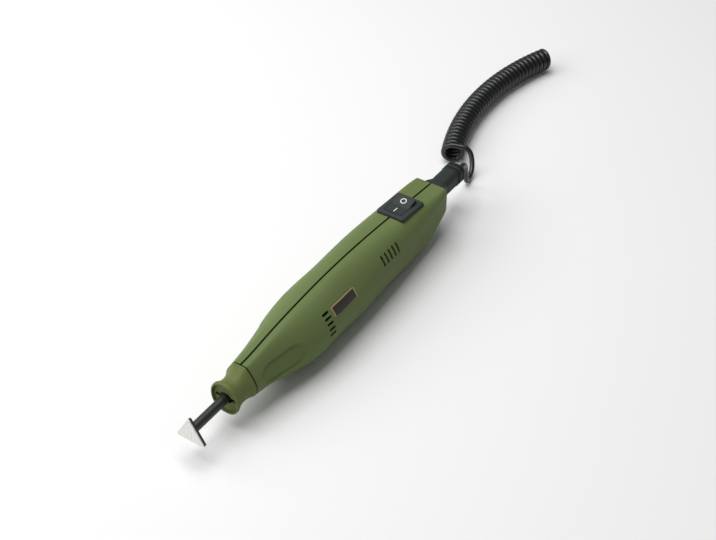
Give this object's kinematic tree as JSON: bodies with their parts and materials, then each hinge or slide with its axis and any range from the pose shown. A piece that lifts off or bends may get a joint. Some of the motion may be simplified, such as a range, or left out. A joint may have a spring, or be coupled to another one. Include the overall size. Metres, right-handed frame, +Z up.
{
  "type": "pen sander",
  "caption": "Handheld pen sander: an olive handle with a motor, a triangular sanding arm that swings and pulls out of the nose, a rocker switch on top and a curly cord at the tail.",
  "frame": {"origin": "under the middle of the tool, without its cord, on the surface that the belly lies on", "axes": "+X from the sanding face to the cord boot, +Y to the left of the tool, +Z up"},
  "size_m": [0.39, 0.063, 0.0354],
  "materials": {
    "housing_green": "fine moulded texture",
    "nose_green": "fine moulded texture",
    "plate_dark": "satin",
    "boot_grey": "matte",
    "cord_black": "satin",
    "plug_black": "matte",
    "plug_metal": "bright",
    "switch_black": "satin",
    "rocker_black": "satin",
    "mark_white": "printed",
    "arm_dark": "satin",
    "abrasive_white": "gritty",
    "black_nylon": "matte",
    "steel": "plain",
    "can_steel": "zinc plated",
    "magnet_ferrite": "matte",
    "bronze": "sintered",
    "copper": "bright",
    "carbon": "matte",
    "wire_red": "satin"
  },
  "bodies": {
    "handle": {"housing_left": "housing_green", "housing_right": "housing_green", "side_plate": "plate_dark", "housing_screws": "steel", "nose_cap": "nose_green", "pivot_pin": "steel", "motor_can": "can_steel", "motor_magnets": "magnet_ferrite", "motor_end_cap": "black_nylon", "front_bush": "bronze", "rear_bush": "bronze", "carbon_brushes": "carbon", "brush_springs": "copper", "motor_terminals": "copper", "switch_body": "switch_black", "rocker_axle": "steel", "switch_terminals": "copper", "cord_boot": "boot_grey", "lead_wires": "wire_red", "cord_lead": "cord_black", "curly_cord": "cord_black", "cord_tail": "cord_black", "plug_body": "plug_black", "plug_barrel": "plug_metal"},
    "rotor": {"motor_shaft": "steel", "armature_core": "steel", "armature_windings": "copper", "commutator": "copper", "cooling_fan": "black_nylon", "eccentric": "bronze", "crank_bearing": "steel"},
    "lever": {"swing_lever": "black_nylon", "lever_bushes": "bronze", "jaw_spring": "steel"},
    "arm": {"sanding_arm": "arm_dark", "abrasive_sheet": "abrasive_white"},
    "rocker": {"switch_rocker": "rocker_black", "switch_marks": "mark_white"}
  },
  "joints": [
    {"name": "rotor_spin", "type": "hinge", "parent": "handle", "child": "rotor", "pos_m": [0, 0, 0.0164], "axis": [1, 0, 0], "continuous": true},
    {"name": "arm_swing", "type": "hinge", "parent": "handle", "child": "lever", "pos_m": [-0.046, 0, 0.0164], "axis": [0, 0, 1], "range_deg": [-0.9, 0.9]},
    {"name": "arm_pull", "type": "slide", "parent": "lever", "child": "arm", "axis": [-1, 0, 0], "range_m": [0, 0.02]},
    {"name": "switch_rock", "type": "hinge", "parent": "handle", "child": "rocker", "pos_m": [0.05685, 0, 0.03051], "axis": [0, 1, 0], "range_deg": [0, 22]}
  ]
}
